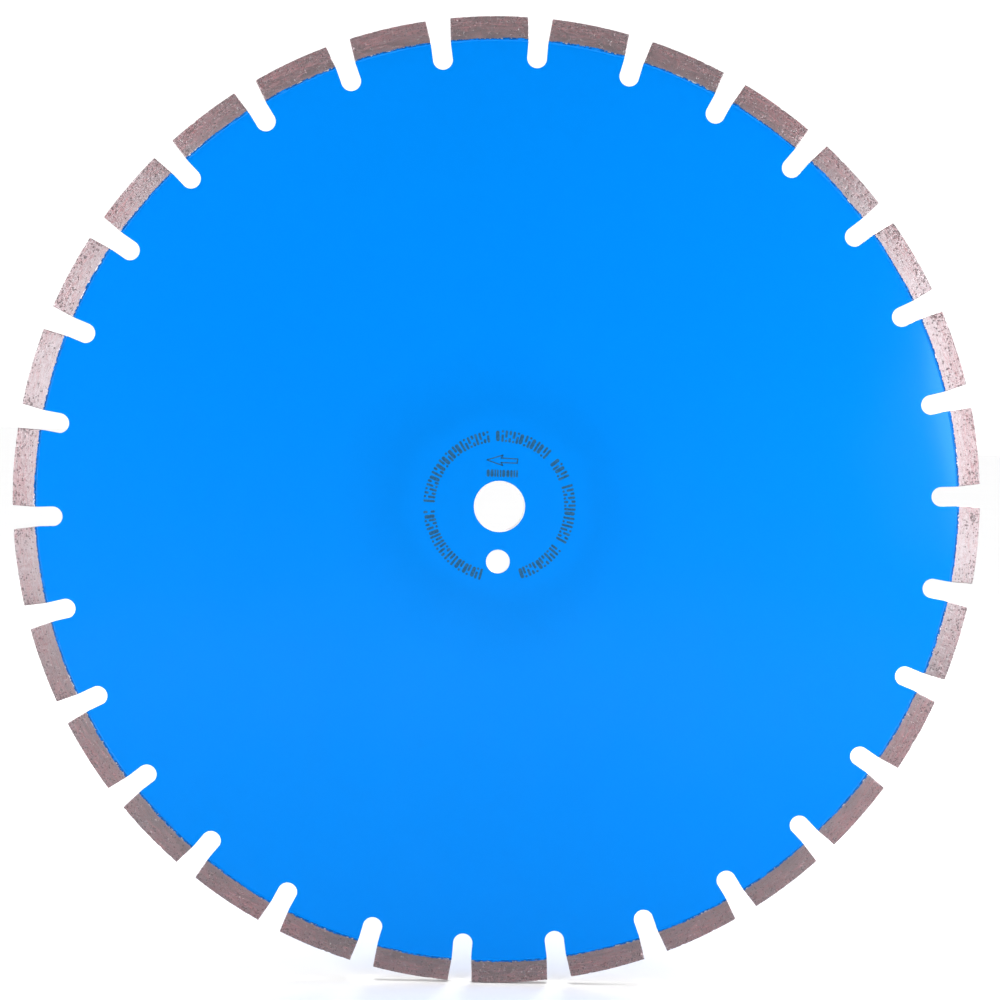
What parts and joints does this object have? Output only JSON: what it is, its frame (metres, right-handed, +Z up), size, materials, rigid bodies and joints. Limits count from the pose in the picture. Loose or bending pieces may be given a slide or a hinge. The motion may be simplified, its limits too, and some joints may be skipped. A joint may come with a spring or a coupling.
{
  "type": "diamond blade",
  "caption": "Segmented diamond saw blade: a flat enamelled steel disc with a central bore, a drive-pin hole and brazed cutting segments between round-bottomed gullets.",
  "frame": {"origin": "centre of the arbor bore, half way through the steel core", "axes": "+Y is the spin axis and points away from the marked face, so the marked face looks towards -Y; +Z is up, and the drive-pin hole is straight below the bore; +X is to the right as the marked face is seen"},
  "size_m": [0.504, 0.0038, 0.504],
  "materials": {
    "core_enamel": "gloss",
    "segment_metal": "satin"
  },
  "bodies": {
    "root": {"steel_core": "core_enamel", "diamond_segment_01": "segment_metal", "diamond_segment_02": "segment_metal", "diamond_segment_03": "segment_metal", "diamond_segment_04": "segment_metal", "diamond_segment_05": "segment_metal", "diamond_segment_06": "segment_metal", "diamond_segment_07": "segment_metal", "diamond_segment_08": "segment_metal", "diamond_segment_09": "segment_metal", "diamond_segment_10": "segment_metal", "diamond_segment_11": "segment_metal", "diamond_segment_12": "segment_metal", "diamond_segment_13": "segment_metal", "diamond_segment_14": "segment_metal", "diamond_segment_15": "segment_metal", "diamond_segment_16": "segment_metal", "diamond_segment_17": "segment_metal", "diamond_segment_18": "segment_metal", "diamond_segment_19": "segment_metal", "diamond_segment_20": "segment_metal", "diamond_segment_21": "segment_metal", "diamond_segment_22": "segment_metal", "diamond_segment_23": "segment_metal", "diamond_segment_24": "segment_metal", "diamond_segment_25": "segment_metal", "diamond_segment_26": "segment_metal", "diamond_segment_27": "segment_metal", "diamond_segment_28": "segment_metal", "diamond_segment_29": "segment_metal", "diamond_segment_30": "segment_metal"}
  },
  "joints": []
}
